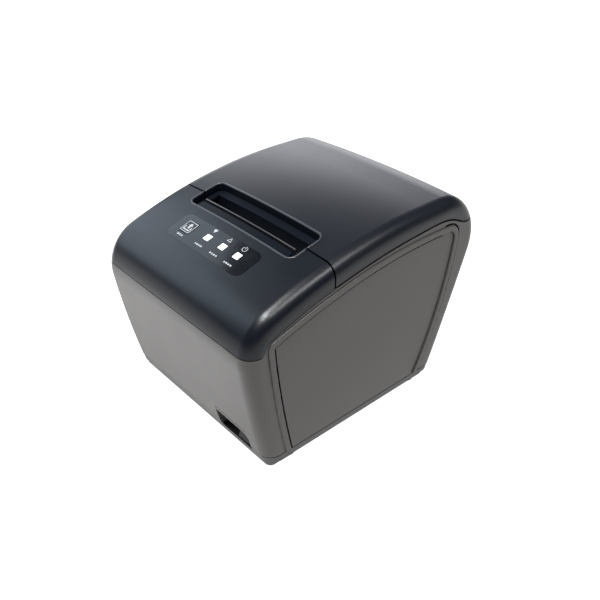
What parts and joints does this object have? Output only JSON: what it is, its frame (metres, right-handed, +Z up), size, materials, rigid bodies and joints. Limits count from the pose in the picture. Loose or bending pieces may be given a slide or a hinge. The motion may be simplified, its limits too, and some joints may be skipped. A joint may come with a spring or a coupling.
{
  "type": "receipt printer",
  "caption": "Desktop thermal receipt printer with a front cover and feed key, a rear-hinged paper lid that carries the platen, a drop-in roll tub, an automatic cutter and rear sockets.",
  "frame": {"origin": "on the table under the middle of the casing (bottom centre of the bounding box)", "axes": "+Z up; the front with the feed key and power switch faces -Y; a viewer in front of it has +X on the right"},
  "size_m": [0.145, 0.1912, 0.1368],
  "materials": {
    "body_plastic": "fine moulded texture, charcoal",
    "pan_plastic": "fine moulded texture",
    "foot_rubber": "matte",
    "screw_steel": "zinc plated",
    "cover_plastic": "satin blue-black",
    "lid_plastic": "satin blue-black",
    "liner_plastic": "matte",
    "pin_steel": "ground steel",
    "overlay_black": "gloss film",
    "button_black": "satin",
    "switch_black": "matte",
    "lens_clear": "smoked translucent lens",
    "board_green": "solder mask",
    "tear_steel": "stamped steel",
    "bucket_plastic": "matte",
    "sensor_black": "matte",
    "sheet_steel": "zinc plated sheet",
    "platen_rubber": "ground rubber",
    "gear_plastic": "acetal",
    "bush_plastic": "oil filled plastic",
    "blade_steel": "ground blade steel",
    "cutter_casting": "glass filled plastic",
    "gear_dark": "acetal",
    "brass_gear": "machined",
    "motor_can": "drawn can",
    "heat_sink_alu": "extruded",
    "head_ceramic": "glazed ceramic",
    "spring_steel": "spring wire",
    "chip_black": "moulded",
    "socket_black": "moulded",
    "socket_metal": "nickel plated shell",
    "ribbon_white": "flat cable"
  },
  "bodies": {
    "casing": {"lower_body": "body_plastic", "base_pan": "pan_plastic", "rubber_feet": "foot_rubber", "base_screws": "screw_steel", "front_cover": "cover_plastic", "hinge_pins": "pin_steel", "panel_overlay": "overlay_black", "feed_switch": "switch_black", "led_windows": "lens_clear", "panel_board": "board_green", "panel_screws": "screw_steel", "tear_bar": "tear_steel", "paper_bucket": "bucket_plastic", "chassis_screws": "screw_steel", "near_end_sensor": "sensor_black", "mechanism_frame": "sheet_steel", "mechanism_screws": "screw_steel", "cutter_frame": "cutter_casting", "cutter_motor": "motor_can", "head_pivot_pin": "pin_steel", "head_springs": "spring_steel", "feed_motor": "motor_can", "idler_stud": "pin_steel", "paper_guide": "bucket_plastic", "paper_sensor": "sensor_black", "switch_body": "switch_black", "main_board": "board_green", "board_parts": "chip_black", "board_screws": "screw_steel", "buzzer": "chip_black", "drawer_socket": "socket_black", "network_socket": "socket_metal", "usb_socket": "socket_metal", "power_inlet": "socket_black", "serial_socket": "socket_metal", "io_plate": "sheet_steel", "head_ribbon": "ribbon_white"},
    "lid": {"lid_cover": "lid_plastic", "lid_liner": "liner_plastic", "platen_bracket": "sheet_steel", "bracket_screws": "screw_steel", "fixed_blade": "blade_steel", "blade_shim": "sheet_steel", "platen_bearings": "bush_plastic"},
    "platen": {"platen_roller": "platen_rubber", "platen_shaft": "pin_steel", "platen_gear": "gear_plastic"},
    "idler": {"idler_gear": "gear_plastic"},
    "feed_pinion": {"motor_pinion": "brass_gear"},
    "thermal_head": {"heat_sink": "heat_sink_alu", "print_head": "head_ceramic"},
    "cutter_blade": {"moving_blade": "blade_steel"},
    "crank": {"crank_gear": "gear_dark"},
    "cut_pinion": {"cutter_pinion": "brass_gear"},
    "button": {"feed_button": "button_black"},
    "rocker": {"power_rocker": "button_black"}
  },
  "joints": [
    {"name": "lid_hinge", "type": "hinge", "parent": "casing", "child": "lid", "pos_m": [0, 0.0884, 0.107], "axis": [-1, 0, 0], "range_deg": [0, 80]},
    {"name": "platen_spin", "type": "hinge", "parent": "lid", "child": "platen", "pos_m": [0, -0.0254, 0.103], "axis": [1, 0, 0], "continuous": true},
    {"name": "idler_spin", "type": "hinge", "parent": "casing", "child": "idler", "pos_m": [-0.0481, -0.0254, 0.08055], "axis": [1, 0, 0], "continuous": true},
    {"name": "feed_pinion_spin", "type": "hinge", "parent": "casing", "child": "feed_pinion", "pos_m": [-0.0481, -0.04182, 0.06905], "axis": [1, 0, 0], "continuous": true},
    {"name": "print_head_tilt", "type": "hinge", "parent": "casing", "child": "thermal_head", "pos_m": [0, -0.0385, 0.0915], "axis": [1, 0, 0], "range_deg": [0, 1.2], "stiffness_Nm_per_rad": 3, "springref_deg": -2.86},
    {"name": "crank_turn", "type": "hinge", "parent": "casing", "child": "crank", "pos_m": [0.018, -0.0455, 0.1084], "axis": [0, 0, 1], "range_deg": [0, 180]},
    {"name": "cutter_blade_slide", "type": "slide", "parent": "casing", "child": "cutter_blade", "axis": [0, 1, 0], "range_m": [0, 0.005]},
    {"name": "cutter_pinion_turn", "type": "hinge", "parent": "casing", "child": "cut_pinion", "pos_m": [0.02403, -0.05594, 0.1084], "axis": [0, 0, 1], "range_deg": [-540, 0]},
    {"name": "feed_button_press", "type": "slide", "parent": "casing", "child": "button", "axis": [0, 0.3195, -0.9476], "range_m": [0, 0.0006], "stiffness_N_per_m": 800, "springref_m": -0.0006},
    {"name": "power_rocker_tilt", "type": "hinge", "parent": "casing", "child": "rocker", "pos_m": [0.046, -0.074, 0.0136], "axis": [1, 0, 0], "range_deg": [0, 16]}
  ],
  "couplings": [
    {"joint": "idler_spin", "follows": "platen_spin", "ratio": -0.55556},
    {"joint": "feed_pinion_spin", "follows": "platen_spin", "ratio": 1.4286},
    {"joint": "crank_turn", "follows": "cutter_blade_slide", "rad_per_m": 628.32},
    {"joint": "cutter_pinion_turn", "follows": "cutter_blade_slide", "rad_per_m": -1885}
  ]
}
